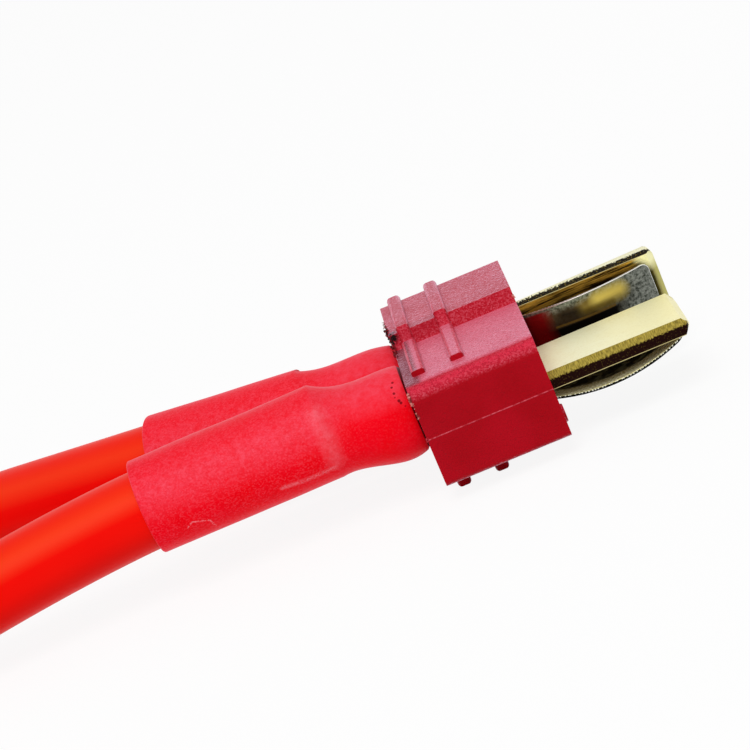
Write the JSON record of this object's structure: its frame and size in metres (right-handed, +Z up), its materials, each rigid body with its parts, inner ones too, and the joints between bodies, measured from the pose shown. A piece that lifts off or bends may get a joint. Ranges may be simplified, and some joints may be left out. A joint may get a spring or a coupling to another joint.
{
  "type": "parallel battery harness",
  "caption": "Battery harness that joins two male T-shaped blade plugs in parallel to one female socket, with thick red leads and red shrink sleeves.",
  "frame": {"origin": "middle of the first plug's mating face", "axes": "+X along the first plug's blades and away from its body, +Y from its stem blade towards its crossbar blade, +Z up from the level surface that the harness lies on"},
  "size_m": [0.1436, 0.0577, 0.0123],
  "materials": {
    "housing": "dark crimson moulded nylon, satin",
    "contact": "gold plated, satin",
    "spring": "nickel plated",
    "solder": "dull tin solder",
    "sleeve": "matt shrunk tubing, bright red",
    "lead": "silicone rubber, orange-red, soft gloss"
  },
  "bodies": {
    "root": {"first_plug_housing": "housing", "first_plug_stem_blade": "contact", "first_plug_stem_spring": "spring", "first_plug_stem_solder": "solder", "first_plug_stem_sleeve": "sleeve", "first_plug_crossbar_blade": "contact", "first_plug_crossbar_spring": "spring", "first_plug_crossbar_solder": "solder", "first_plug_crossbar_sleeve": "sleeve", "second_plug_housing": "housing", "second_plug_stem_blade": "contact", "second_plug_stem_spring": "spring", "second_plug_stem_solder": "solder", "second_plug_stem_sleeve": "sleeve", "second_plug_crossbar_blade": "contact", "second_plug_crossbar_spring": "spring", "second_plug_crossbar_solder": "solder", "second_plug_crossbar_sleeve": "sleeve", "socket_housing": "housing", "socket_stem_contact": "contact", "socket_stem_solder": "solder", "socket_stem_sleeve": "sleeve", "socket_crossbar_contact": "contact", "socket_crossbar_solder": "solder", "socket_crossbar_sleeve": "sleeve", "first_stem_lead": "lead", "first_crossbar_lead": "lead", "second_stem_lead": "lead", "second_crossbar_lead": "lead"}
  },
  "joints": []
}
